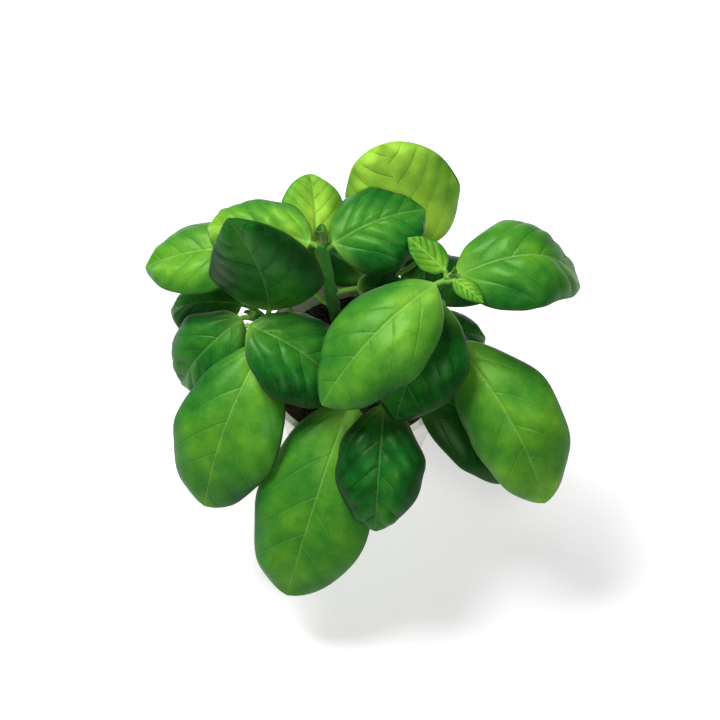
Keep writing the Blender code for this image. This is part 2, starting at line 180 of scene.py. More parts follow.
# Shoot tips: the stem each one ends, the heading its flat side faces, its lean in degrees, its length
# in mm.
BUDS = {
    "shoot_tip_a": ("a", 260, 8, 9.5),
    "shoot_tip_b": ("b", 300, 10, 6.0),
    "shoot_tip_c": ("c", 180, 20, 4.5),
    "shoot_tip_d": ("d", 270, 20, 7.0),
    "shoot_tip_e": ("e", 225, 35, 6.0),
}

# The leaflets of every tip: the turn from the tip's facing and the spread from its axis, in degrees, and
# the length as a share of the tip's.
BUD_LEAFLETS = ((0, 16, 1.0), (180, 18, 0.92), (90, 12, 0.62), (270, 14, 0.6))
BUD_WIDTH = 0.70            # a leaflet's width as a share of its length


# ---- vectors, curves and noise -----------------------------------------------------------------
def unit(vector):
    """The vector, or each row of an array of vectors, at length one."""
    return vector / np.linalg.norm(vector, axis=-1, keepdims=True)


def direction(heading, pitch):
    """Unit vector at a heading and a pitch, both in degrees."""
    heading, pitch = math.radians(heading), math.radians(pitch)
    level = math.cos(pitch)
    return np.array([level * math.cos(heading), level * math.sin(heading), math.sin(pitch)])


def square_to(vectors, axes):
    """Vectors with their part along unit axes taken out, at length one."""
    return unit(vectors - axes * (vectors * axes).sum(axis=-1, keepdims=True))


def smooth(low, high, value):
    """0 below low, 1 above high, and 3t^2 - 2t^3 between."""
    t = np.clip((value - low) / (high - low), 0.0, 1.0)
    return t * t * (3 - 2 * t)


def noise(points, cell, seed):
    """Value noise from -1 to 1: random numbers on a lattice of that cell, smoothly mixed in each cell."""
    table = np.random.default_rng(seed).permutation(256)
    place = np.asarray(points, float) / cell + 31.7
    whole = np.floor(place).astype(int)
    part = place - whole
    part = part * part * (3 - 2 * part)
    total = np.zeros(place.shape[:-1])
    for corner in np.ndindex(*(2,) * place.shape[-1]):
        index = np.zeros(place.shape[:-1], int)
        weight = np.ones(place.shape[:-1])
        for axis, step in enumerate(corner):
            index = table[(index + whole[..., axis] + step) % 256]
            weight = weight * (part[..., axis] if step else 1 - part[..., axis])
        total += weight * index / 127.5
    return total - 1.0


# ---- meshes ------------------------------------------------------------------------------------
def new_piece(name, points, quads, triangles, stands_for, finishes, values=None, quad_finish=None):
    """A mesh object from arrays of points and faces, with one number for each point in each of values."""
    corners = np.concatenate([quads.ravel(), triangles.ravel()]).astype(np.int32)
    starts = np.concatenate([
        4 * np.arange(len(quads)), 4 * len(quads) + 3 * np.arange(len(triangles))]).astype(np.int32)
    mesh = bpy.data.meshes.new(name)
    mesh.vertices.add(len(points))
    mesh.vertices.foreach_set("co", np.ascontiguousarray(points, np.float32).ravel())
    mesh.loops.add(len(corners))
    mesh.loops.foreach_set("vertex_index", corners)
    mesh.polygons.add(len(starts))
    mesh.polygons.foreach_set("loop_start", starts)
    if quad_finish is not None:
        index = np.zeros(len(starts), np.int32)
        index[:len(quads)] = quad_finish
        mesh.polygons.foreach_set("material_index", index)
    for key, value in (values or {}).items():
        mesh.attributes.new(key, "FLOAT", "POINT").data.foreach_set(
            "value", np.ascontiguousarray(value, np.float32).ravel())
    mesh.update(calc_edges=True)
    mesh.validate()
    mesh.shade_smooth()
    for finish in finishes:
        mesh.materials.append(finish)
    piece = bpy.data.objects.new(name, mesh)
    bpy.context.scene.collection.objects.link(piece)
    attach(piece, "root")
    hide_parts(*stands_for)
    return piece


def tube_faces(rings, sides):
    """Quads between closed rings of points, and fans that close both ends on two added last points."""
    ring, side = np.meshgrid(np.arange(rings - 1), np.arange(sides), indexing="ij")
    here = (ring * sides + side).ravel()
    beside = (ring * sides + (side + 1) % sides).ravel()
    quads = np.stack([here, beside, beside + sides, here + sides], axis=1)
    first = np.arange(sides)
    after = (first + 1) % sides
    last = (rings - 1) * sides
    foot = np.stack([after, first, np.full(sides, rings * sides)], axis=1)
    head = np.stack([first + last, after + last, np.full(sides, rings * sides + 1)], axis=1)
    return quads, np.concatenate([foot, head])


def with_poles(rings):
    """Ring points as one list, with the middles of the first and the last ring added at its end."""
    flat = rings.reshape(-1, rings.shape[-1])
    return np.concatenate([flat, [rings[0].mean(axis=0), rings[-1].mean(axis=0)]])


# ---- stems -------------------------------------------------------------------------------------
def stem_point(name, share):
    """Centre, axis and radius of a stem at shares of its way up, on a three-point Bezier curve."""
    foot, middle, apex, foot_radius, apex_radius = STEMS[name]
    foot = np.array([*foot, 0.0]) * MM
    middle = np.array(middle) * MM
    apex = np.array(apex) * MM
    share = np.asarray(share)[..., None]
    centre = foot * (1 - share) ** 2 + middle * 2 * share * (1 - share) + apex * share ** 2
    axis = unit((middle - foot) * (1 - share) + (apex - middle) * share)
    radius = (foot_radius + (apex_radius - foot_radius) * share[..., 0]) * MM
    return centre + UP * SOIL_TOP, axis, radius


def make_stem(name, finish):
    """A square stem with rounded corners and hollowed faces, swollen where leaves leave it.

    The section's radius is r (1 + c cos 4a) at angle a, so c rounds it off or squares it up.
    """
    share = np.linspace(0.0, 1.0, STEM_RINGS)
    centres, axes, radii = stem_point(name, share)
    depths = np.linspace(1.0, 0.0, ROOT_RINGS, endpoint=False)
    root = centres[0] - np.outer(depths * ROOT_DEPTH, UP)
    taper = 1 - ROOT_TAPER * depths ** 0.7
    centres = np.concatenate([root, centres])
    axes = np.concatenate([np.tile(UP, (ROOT_RINGS, 1)), axes])
    length_share = np.concatenate([-depths, share])
    radii = np.concatenate([radii[0] * taper, radii])
    node_shares = sorted({leaf.share for leaf in LEAVES.values() if leaf.stem == name})
    for node in node_shares:
        radii = radii * (1 + NODE_SWELLING * np.exp(-((length_share - node) / NODE_REACH) ** 2))
    radii = radii * (1 + STEM_UNEVENNESS * noise(length_share[:, None], 0.13, 7))
    squareness = SQUARENESS * smooth(-0.02, 0.10, length_share)
    across = square_to(np.tile([1.0, 0.25, 0.0], (len(axes), 1)), axes)
    along = np.cross(axes, across)
    angle = np.linspace(0.0, 2 * math.pi, STEM_SIDES, endpoint=False)
    reach = radii[:, None] * (1 + squareness[:, None] * np.cos(4 * angle))
    rings = centres[:, None] + reach[..., None] * (
        across[:, None] * np.cos(angle)[:, None] + along[:, None] * np.sin(angle)[:, None])
    height = np.concatenate([np.repeat(length_share, STEM_SIDES), [-1.0, 1.0]])
    quads, triangles = tube_faces(len(centres), STEM_SIDES)
    new_piece("stem_%s_skin" % name, with_poles(rings), quads, triangles, ["stem_" + name],
              [finish], {"height_share": height})


# ---- leaves ------------------------------------------------------------------------------------
def blade_outline(leaf, share):
    """Half width at shares s of the blade's length: (s / w)^heel ((1 - s) / (1 - w))^point, 1 at s = w."""
    widest = leaf.heel / (leaf.heel + leaf.point)
    return (share / widest) ** leaf.heel * ((1 - share) / (1 - widest)) ** leaf.point


def blade_frame(leaf, base, share):
    """Midrib points, and the unit vectors along it, across it and out of the upper face, at shares.

    The midrib is its chord bowed by a parabola, towards the face by arch and sideways by bend.
    """
    heading, pitch, length = leaf.blade
    chord = direction(heading, pitch)
    upward = square_to(UP, chord)
    roll = math.radians(leaf.roll)
    face = upward * math.cos(roll) + np.cross(chord, upward) * math.sin(roll)
    across = np.cross(face, chord)
    bow = (4 * share * (1 - share))[:, None]
    shape = share[:, None] * chord + leaf.arch * bow * face + leaf.bend * bow * across
    points = base + length * MM * shape
    along = unit(np.gradient(points, share, axis=0, edge_order=2))
    across = square_to(across, along)
    return points, along, across, np.cross(along, across)


def petiole_curve(start, outward, base, into_blade, steps):
    """Cubic Bezier from the stem, squarely out of it, that runs into the midrib without a kink."""
    span = np.linalg.norm(base - start)
    first = start + outward * PETIOLE_HANDLES[0] * span
    second = base - into_blade * PETIOLE_HANDLES[1] * span
    t = np.linspace(0.0, 1.0, steps + 1)[:, None]
    curve = start * (1 - t) ** 3 + first * 3 * t * (1 - t) ** 2
    curve = curve + second * 3 * t ** 2 * (1 - t) + base * t ** 3
    return curve, unit(np.gradient(curve, t[:, 0], axis=0, edge_order=2))


def vein_phase(leaf, share, out):
    """A number that is whole along each lateral vein and grows by one from vein to vein.

    At a distance m out from the midrib, as a share of the leaf's greatest half width, a lateral has run
    forward by r1 m + r2 m^2 half widths.  Outside the first lateral the phase keeps its value at the base.
    """
    half_width = 0.5 * leaf.width * MM
    reach = np.abs(out) / half_width
    forward = (VEIN_REACH[0] * reach + VEIN_REACH[1] * reach ** 2) * 0.5 * leaf.width / leaf.blade[2]
    start = np.maximum(share - forward, 0.0)
    return VEIN_PAIRS * start * (1 + 0.15 * start) + np.where(out > 0, FIRST_VEIN[1], FIRST_VEIN[0])


def make_leaf(name, finishes, seed):
    """One leaf: its petiole starts inside the stem and its blade at the petiole's end."""
    leaf = LEAVES[name]
    centre, axis, stem_radius = stem_point(leaf.stem, leaf.share)
    reach = direction(*leaf.petiole[:2])
    outward = square_to(reach, axis)
    start = centre + outward * stem_radius * SOCKET_SHARE
    base = centre + reach * leaf.petiole[2] * MM
    points, quads, triangles, values, face_finish = leaf_mesh(leaf, base, (start, outward), seed)
    new_piece(name + "_blade", points, quads, triangles, [name], finishes, values, face_finish)


def leaf_mesh(leaf, base, root, seed):
    """A leaf's points, quads, triangles and values, and each quad's finish: 0 above and 1 underneath."""
    rings, values, upper = leaf_surface(leaf, base, root, seed)
    quads, triangles = tube_faces(rings.shape[0], rings.shape[1])
    values = {key: np.concatenate([value.ravel(), [value[0].mean(), value[-1].mean()]])
              for key, value in values.items()}
    face_finish = np.tile(np.where(upper, 0, 1), len(rings) - 1)
    return with_poles(rings), quads, triangles, values, face_finish


def leaf_surface(leaf, base, root, seed):
    """Rings of points round a leaf's section, from the petiole's foot to the tip, with their values.

    The section runs over v from 1 to -1 on the upper face and back underneath.  Its skin turns away
    from the midrib by cup v + rim v^5, and the section is the sum of those turns, so the blade's width
    along its skin stays the same however far it curls.  The relief is moved along the skin's normal.
    """
    length = leaf.blade[2] * MM
    share = 0.5 - 0.5 * np.cos(math.pi * np.linspace(0.0, 1.0, BLADE_RINGS))
    share = 0.5 * (share + np.linspace(0.0, 1.0, BLADE_RINGS))
    points, along, across, face = blade_frame(leaf, base, share)
    stalk, stalk_along = petiole_curve(root[0], root[1], base, along[0], PETIOLE_RINGS)
    stalk_across = square_to(np.tile(across[0], (len(stalk), 1)), stalk_along)
    stalk_face = np.cross(stalk_along, stalk_across)
    centres = np.concatenate([stalk[:-1], points])
    across = np.concatenate([stalk_across[:-1], across])
    face = np.concatenate([stalk_face[:-1], face])

    # the section's columns: q is even from margin to margin, v is packed towards the midrib
    q = np.linspace(-1.0, 1.0, 2 * HALF_COLUMNS + 1)
    v = np.sign(q) * np.abs(q) ** COLUMN_POWER
    blade = np.concatenate([np.zeros(PETIOLE_RINGS), np.ones(BLADE_RINGS)])
    share = np.concatenate([np.zeros(PETIOLE_RINGS), share])[:, None]
    petiole_share = np.concatenate([np.linspace(1.0, 0.0, PETIOLE_RINGS), np.zeros(BLADE_RINGS)])[:, None]
    roundness = np.where(blade[:, None] > 0, np.exp(-share / NECK_SHARE), 1.0)
    ragged = 1 + RAGGEDNESS * noise(np.stack(np.broadcast_arrays(3 * share, np.sign(v)), -1), 0.45, seed)
    width = 0.5 * leaf.width * MM * np.where(blade[:, None] > 0, blade_outline(leaf, share), 0.0) * ragged
    stalk_radius = PETIOLE_RADIUS * (1 + PETIOLE_FLARE * petiole_share ** 4)
    half_width = np.hypot(width, stalk_radius * (1 - share) + TIP_HALF_WIDTH)
    half_thick = 0.5 * LEAF_THICKNESS + (stalk_radius - 0.5 * LEAF_THICKNESS) * roundness
    half_thick = half_thick * (1 - TIP_THINNING * share)

    # arc length out from the midrib, and the skin's turn there
    flat = v * (1 - roundness) + np.sin(0.5 * math.pi * v) * roundness
    turn = blade[:, None] * (np.radians(leaf.cup) * flat + np.radians(leaf.rim) * flat ** 5)
    step = np.diff(flat, axis=1) * half_width[:, 1:]
    middle_turn = 0.5 * (turn[:, 1:] + turn[:, :-1])
    first = np.zeros((len(turn), 1))
    x = np.concatenate([first, np.cumsum(step * np.cos(middle_turn), axis=1)], axis=1)
    z = np.concatenate([first, -np.cumsum(step * np.sin(middle_turn), axis=1)], axis=1)
    x = x - x[:, HALF_COLUMNS:HALF_COLUMNS + 1]
    z = z - z[:, HALF_COLUMNS:HALF_COLUMNS + 1]
    out = flat * half_width

    # relief: pillows between the laterals, a groove along the midrib, ripples at the margin
    margin = np.abs(v)[None, :] * np.ones_like(out)
    phase = vein_phase(leaf, share, out)
    nearest = np.abs(phase - np.round(phase))
    between = 0.6 * np.sin(math.pi * phase) ** 2 + 0.4 * (1 - np.exp(-(nearest / STEEP_REACH) ** 2))
    near_rib = smooth(0.0, 0.06, np.abs(out) / length)
    near_tip = smooth(0.0, 0.08, share) * smooth(0.0, 0.12, 1 - share)
    inside = 1 - margin ** 5
    skin = np.stack([share * length + 0 * out, out, np.full_like(out, 0.001 * (seed % 97))], axis=-1)
    lumps = noise(skin, 0.0055, seed + 1)
    broad = noise(skin, 0.020, seed + 2)
    size = min(1.0, leaf.width / 40)
    relief = leaf.pucker * size * (between * (0.9 + 0.35 * lumps) + 0.25 * lumps) * near_rib * inside
    relief = relief * near_tip
    midrib_groove = (1 - share) ** 0.5 * np.exp(-(out / (0.9 * MM)) ** 2) * (1 - roundness)
    relief = relief - MIDRIB_GROOVE * midrib_groove
    belly = size * (broad + np.sin(math.pi * margin)) * smooth(0.0, 0.4, margin) * near_tip
    relief = relief + ARCH_HEIGHT * belly
    ripple = np.sin(2 * math.pi * (RIPPLES * share + 0.31 * seed) + 2.0 * np.sign(v))
    relief = relief + leaf.wave * ripple * margin ** 3 * near_tip * size
    relief = relief * MM * blade[:, None]

    # thickness: a round petiole, then a thin blade with a rounded margin and a rib under it
    edge_shape = np.sqrt(np.clip(1 - margin ** 8, 0, 1)) * (1 - roundness)
    edge_shape = edge_shape + np.cos(0.5 * math.pi * v) * roundness
    thick = half_thick * edge_shape
    rib_width = 0.75 * MM * (1.1 - share)
    rib = MIDRIB_RIB * MM * (1 - share) ** 1.3 * np.exp(-(out / rib_width) ** 2) * blade[:, None]
    rib = rib * (1 - roundness)
    vein_line = np.exp(-(nearest / 0.05) ** 2) * near_rib * inside * near_tip
    rib = rib + VEIN_RIB * MM * vein_line * blade[:, None]

    def place(offset):
        sideways = x + offset * np.sin(turn)
        outward = z + offset * np.cos(turn)
        return centres[:, None] + across[:, None] * sideways[..., None] + face[:, None] * outward[..., None]

    top = place(relief + thick)[:, ::-1]
    under = place(relief - thick - rib)[:, 1:-1]
    rings = np.concatenate([top, under], axis=1)
    tone = leaf.tone + 0.10 * broad + 0.05 * lumps + 0 * out
    values = {"tone": tone, "phase": phase, "swell": between, "out": out / MM, "share": share + 0 * out,
              "margin": margin, "is_blade": blade[:, None] * (1 - roundness) + 0 * out}
    values = {key: np.concatenate([value[:, ::-1], value[:, 1:-1]], axis=1) for key, value in values.items()}
    upper = np.arange(rings.shape[1]) < 2 * HALF_COLUMNS
    return rings, values, upper


# ---- shoot tips --------------------------------------------------------------------------------
def make_bud(name, finishes, seed):
    """A shoot tip: two pairs of tiny folded leaves that stand round the stem's end, one pair inside.

    Each leans out from the stem's axis by its spread, and is rolled until its upper face turns inwards.
    """
    stem, facing, lean, length = BUDS[name]
    end, axis, radius = stem_point(stem, 1.0)
    meshes = []
    count = 0
    for index, (turned, spread, tall) in enumerate(BUD_LEAFLETS):
        heading = facing + turned
        out = square_to(direction(heading, 0), axis)
        along_axis = math.cos(math.radians(spread + 0.4 * lean))
        growth = unit(axis * along_axis + out * math.sin(math.radians(spread)))
        pitch = math.degrees(math.asin(growth[2]))
        growth_heading = math.degrees(math.atan2(growth[1], growth[0]))
        blade = (growth_heading, pitch, length * tall)
        leaf = Leaf(stem, 1.0, (heading, 60, 1), blade, length * tall * BUD_WIDTH,
                    tone=0.42 + 0.08 * index, arch=0.10, cup=-45, rim=0, pucker=0.5, wave=0.1)
        chord = direction(growth_heading, pitch)
        upward = square_to(UP, chord)
        inward = square_to(-out, chord)
        leaf.roll = math.degrees(math.atan2(np.cross(upward, inward) @ chord, upward @ inward))
        base = end + out * radius * 0.35 - axis * 0.0003
        root = (end - axis * 0.0012, unit(axis + out))
        points, quads, triangles, values, face_finish = leaf_mesh(leaf, base, root, seed + index)
        meshes.append((points, quads + count, triangles + count, values, face_finish))
        count += len(points)
    points, quads, triangles, values, face_finish = zip(*meshes)
    values = {key: np.concatenate([part[key] for part in values]) for key in values[0]}
    new_piece(name + "_leaflets", np.concatenate(points), np.concatenate(quads), np.concatenate(triangles),
              [name], finishes, values, np.concatenate(face_finish))


# ---- pot and soil ------------------------------------------------------------------------------
POT_WALL = 0.0018
POT_FLOOR = 0.0022
POT_HEIGHT = POT_HIGH.z
POT_RIM_RADIUS = POT_HIGH.x
POT_BASE_RADIUS = 0.0305
RIM_BAND_HEIGHT = 0.012
RIM_BAND_STEP = 0.0014
POT_SIDES = 160
CORNER_RADIUS = 0.0007
CORNER_STEPS = 5

SOIL_SIDES = 200
SOIL_RINGS = 90
SOIL_TAPER = 0.0115         # how much narrower the root ball is at its foot
SOIL_NOISES = ((1.1, 0.011, 3), (0.9, 0.0042, 4), (0.55, 0.0019, 5), (0.25, 0.0009, 6))     # mm, cell, seed
CRUMBS = 520
CRUMB_SIDES = 6
CRUMB_BELTS = ((0.0, 0.75, -0.55), (0.5, 1.0, 0.1), (0.2, 0.6, 0.7))    # turn, radius, height


def rounded(profile):
    """A profile with each inner corner swapped for a quadratic curve that starts a radius before it."""
    points = [profile[0]]
    for before, corner, after in zip(profile, profile[1:], profile[2:]):
        before, corner, after = map(np.array, (before, corner, after))
        into, out_of = corner - before, after - corner
        reach = min(CORNER_RADIUS, 0.45 * np.linalg.norm(into), 0.45 * np.linalg.norm(out_of))
        start, end = corner - unit(into) * reach, corner + unit(out_of) * reach
        for t in np.linspace(0.0, 1.0, CORNER_STEPS):
            points.append(tuple(start * (1 - t) ** 2 + corner * 2 * t * (1 - t) + end * t * t))
    points.append(profile[-1])
    return np.array(points)


def pot_wall_radius(height):
    """Outer radius of the straight tapered wall at a height."""
    wall_top = POT_RIM_RADIUS - RIM_BAND_STEP
    return POT_BASE_RADIUS + (wall_top - POT_BASE_RADIUS) * height / POT_HEIGHT


def make_pot(finish):
    """The pot: a profile turned about Z, with rounded corners, a rim band and a foot ring."""
    band_foot = POT_HEIGHT - RIM_BAND_HEIGHT
    mouth = pot_wall_radius(POT_HEIGHT) - POT_WALL
    foot_ring = POT_BASE_RADIUS - 0.004
    profile = [
        (0.0, 0.0008),
        (foot_ring, 0.0008),
        (foot_ring + 0.0008, 0.0),
        (POT_BASE_RADIUS - 0.0008, 0.0),
        (pot_wall_radius(0.0012), 0.0012),
        (pot_wall_radius(band_foot) - 0.0001, band_foot),
        (pot_wall_radius(band_foot) + RIM_BAND_STEP, band_foot + 0.0005),
        (POT_RIM_RADIUS, POT_HEIGHT),
        (mouth, POT_HEIGHT),
        (pot_wall_radius(POT_FLOOR) - POT_WALL, POT_FLOOR),
        (0.0, POT_FLOOR),
    ]
    profile = rounded(profile)[::-1]
    inner = profile[1:-1]
    angle = np.linspace(0.0, 2 * math.pi, POT_SIDES, endpoint=False)
    rings = np.stack([inner[:, :1] * np.cos(angle), inner[:, :1] * np.sin(angle),
                      np.repeat(inner[:, 1:], POT_SIDES, 1)], axis=-1)
    flat = np.concatenate([rings.reshape(-1, 3), [[0, 0, profile[0][1]], [0, 0, profile[-1][1]]]])
    quads, triangles = tube_faces(len(rings), POT_SIDES)
    quads, triangles = quads[:, ::-1], triangles[:, ::-1]
    pot = new_piece("pot_shell", flat, quads, triangles, ["pot"], [finish])
    pot.data.set_sharp_from_angle(angle=math.radians(50))


def make_soil(finish):
    """The root ball: a tapered plug whose top is a polar grid raised by four sizes of noise."""
    top_radius = SOIL_HIGH.x - 0.0002
    low_radius = SOIL_HIGH.x - SOIL_TAPER
    angle = np.linspace(0.0, 2 * math.pi, SOIL_SIDES, endpoint=False)
    radius = np.concatenate([[low_radius * 0.5, low_radius], np.linspace(top_radius, 0.0003, SOIL_RINGS)])
    plane = np.stack([radius[:, None] * np.cos(angle), radius[:, None] * np.sin(angle)], axis=-1)
    solid = np.concatenate([plane, np.zeros(plane.shape[:2] + (1,))], axis=-1)
    rise = sum(rough * noise(solid, cell, seed) for rough, cell, seed in SOIL_NOISES)
    height = SOIL_TOP - 0.0005 + rise * MM
    height[0:2] = SOIL_LOW.z
    solid[..., 2] = height
    flat = np.concatenate([solid.reshape(-1, 3), [[0, 0, SOIL_LOW.z], [0, 0, solid[-1, :, 2].mean()]]])
    quads, triangles = tube_faces(len(radius), SOIL_SIDES)
    new_piece("soil_surface", flat, quads, triangles, ["soil"], [finish])


def make_crumbs(finish):
    """Crumbs of compost on the soil: small lumps of three six-sided belts, squashed, dented and turned."""
    random = np.random.default_rng(11)
    radius = np.sqrt(random.uniform(0, 1, CRUMBS)) * (SOIL_HIGH.x - 0.003)
    angle = random.uniform(0, 2 * math.pi, CRUMBS)
    size = random.gamma(2.0, 0.35, CRUMBS) * MM + 0.0004
    level = np.full(CRUMBS, SOIL_TOP + 0.0004)
    middle = np.stack([radius * np.cos(angle), radius * np.sin(angle), level], axis=-1)
    around = np.linspace(0.0, 2 * math.pi, CRUMB_SIDES, endpoint=False)
    lump = np.concatenate([
        np.stack([np.cos(around + turn) * wide, np.sin(around + turn) * wide, 0 * around + high], -1)
        for turn, wide, high in CRUMB_BELTS])
    squash = random.uniform(0.5, 1.3, (CRUMBS, 1, 3))
    jitter = random.normal(0, 0.12, (CRUMBS, len(lump), 3))
    shape = (lump[None] + jitter) * squash * size[:, None, None]
    spin = random.uniform(0, 2 * math.pi, CRUMBS)
    cos = np.cos(spin)[:, None]
    sin = np.sin(spin)[:, None]
    shape = np.stack([shape[..., 0] * cos - shape[..., 1] * sin, shape[..., 0] * sin + shape[..., 1] * cos,
                      shape[..., 2]], axis=-1)
    points = shape + middle[:, None]
    poles = np.stack([points[:, :CRUMB_SIDES].mean(1), points[:, -CRUMB_SIDES:].mean(1)], axis=1)
    points = np.concatenate([points, poles], axis=1)
    quads, triangles = tube_faces(len(CRUMB_BELTS), CRUMB_SIDES)
    offset = (np.arange(CRUMBS) * points.shape[1])[:, None, None]
    new_piece("soil_crumbs", points.reshape(-1, 3), (quads[None] + offset).reshape(-1, 4),
              (triangles[None] + offset).reshape(-1, 3), ["soil"], [finish])


# ---- finishes ----------------------------------------------------------------------------------
# Greens of the upper face by depth, from an old leaf's deep green to a young one's lime.
LEAF_GREENS = (
    (0.0, (0.001, 0.040, 0.005)),
    (0.15, (0.003, 0.095, 0.010)),
    (0.40, (0.036, 0.180, 0.015)),
    (0.62, (0.092, 0.280, 0.018)),
    (1.0, (0.340, 0.620, 0.055)),
)
UNDERSIDE_GREENS = ((0.0, (0.070, 0.180, 0.045)), (1.0, (0.260, 0.460, 0.110)))
LATERAL_GREEN = (0.26, 0.50, 0.08)
MIDRIB_GREEN = (0.46, 0.64, 0.22)
MARGIN_GREEN = (0.42, 0.62, 0.16)
UNDER_VEIN_GREEN = (0.34, 0.48, 0.18)
PETIOLE_GREEN = (0.16, 0.36, 0.05)
SUNLIT_GREEN = (0.45, 0.80, 0.04)
LEAF_GLOSS_TINT = (0.58, 1.0, 0.40)
LIGHT_THROUGH = 0.14        # share of the light that a blade lets through
# Stem greens by height: browner near the soil, and dark all over as painted shade of the leaves above.
SHADED_STEM_GREENS = ((0.0, (0.05, 0.07, 0.02)), (0.35, (0.02, 0.10, 0.012)), (1.0, (0.03, 0.19, 0.017)))
COMPOST_BROWNS = ((0.30, (0.010, 0.007, 0.005)), (0.55, (0.045, 0.028, 0.018)), (0.80, (0.16, 0.105, 0.062)))
POT_WHITE = (0.80, 0.78, 0.73)
POT_DUST = (0.46, 0.40, 0.32)
DUST_HEIGHT = 0.016

# Pattern sizes, in cells to a metre.
LEAF_CLOUDS = 38.0
LEAF_MOTTLES = 160.0
LEAF_NET = 330.0
LEAF_GRAIN = 900.0
STEM_SPECKLES = 420.0
COMPOST_LUMPS = 260.0
COMPOST_FIBRES = 900.0
POT_CLOUDS = 30.0
POT_GRAIN = 1400.0


class Link:
    """One output of a finish's nodes.  Arithmetic on it adds Math nodes."""

    def __init__(self, finish, socket):
        self.finish = finish
        self.socket = socket

    def math(self, operation, *others):
        """A Math node on this value and the others."""
        return self.finish.node("ShaderNodeMath", {"operation": operation}, [self, *others])

    def __add__(self, other):
        return self.math("ADD", other)

    def __sub__(self, other):
        return self.math("SUBTRACT", other)

    def __rsub__(self, other):
        return self.finish.node("ShaderNodeMath", {"operation": "SUBTRACT"}, [other, self])

    def __mul__(self, other):
        return self.math("MULTIPLY", other)

    def __truediv__(self, other):
        return self.math("DIVIDE", other)

    def __pow__(self, other):
        return self.math("POWER", other)

    def __abs__(self):
        return self.math("ABSOLUTE")

    __radd__ = __add__
    __rmul__ = __mul__


class Finish:
    """A material, its Principled shader, and one method that adds any node."""

    def __init__(self, name, **settings):
        self.material = bpy.data.materials.new(name)
        self.material.use_nodes = True
        self.tree = self.material.node_tree
        self.shader = self.tree.nodes["Principled BSDF"]
        self.output = self.tree.nodes["Material Output"]
        self.set(**settings)

    def put(self, socket, value):
        """Link a value into a socket, or set a plain number or colour on it."""
        if isinstance(value, Link):
            self.tree.links.new(value.socket, socket)
        elif hasattr(value, "__len__") and len(value) == 3 and socket.type == "RGBA":
            socket.default_value = (*value, 1.0)
        else:
            socket.default_value = value

    def set(self, **inputs):
        """Put values into the shader's sockets, named with _ for a space."""
        for key, value in inputs.items():
            self.put(self.shader.inputs[key.replace("_", " ")], value)

    def node(self, kind, settings=None, inputs=(), output=0):
        """Add a node: its settings first, a ramp's stops among them, then its sockets by place or name."""
        made = self.tree.nodes.new(kind)
        for key, value in (settings or {}).items():
            if key == "stops":
                ramp = made.color_ramp
                while len(ramp.elements) < len(value):
                    ramp.elements.new(0.5)
                for element, (position, colour) in zip(ramp.elements, value):
                    element.position = position
                    element.color = (*colour, 1.0)
            else:
                setattr(made, key, value)
        pairs = inputs.items() if isinstance(inputs, dict) else enumerate(inputs)
        for key, value in pairs:
            self.put(made.inputs[key], value)
        return Link(self, made.outputs[output])

    def value(self, name):
        """The mesh's own number of that name."""
        return self.node("ShaderNodeAttribute", {"attribute_name": name}, output="Fac")

    def place(self):
        """Object coordinates, which are the object's own metres."""
        return self.node("ShaderNodeTexCoord", output="Object")

    def noise(self, scale, detail=2.0, rough=0.5):
        """Cloudy noise round 0.5, at that many cells to a metre."""
        return self.node("ShaderNodeTexNoise", inputs={
            "Vector": self.place(), "Scale": scale, "Detail": detail, "Roughness": rough})

    def ramp(self, factor, stops):
        """A colour from a table of positions and colours."""
        return self.node("ShaderNodeValToRGB", {"stops": stops}, [factor])

    def blend(self, factor, first, second):
        """The first colour at 0 and the second at 1."""
        return self.node("ShaderNodeMix", {"data_type": "RGBA"}, {0: factor, 6: first, 7: second}, output=2)

    def bump(self, height, distance):
        """A normal bent by a height that counts in that many metres."""
        return self.node("ShaderNodeBump", inputs={"Distance": distance, "Height": height})

    def line(self, distance, width):
        """1 on a line and 0 from width away, falling as a parabola."""
        short = (distance / width).math("MINIMUM", 1.0)
        return (1 - short) ** 2.0


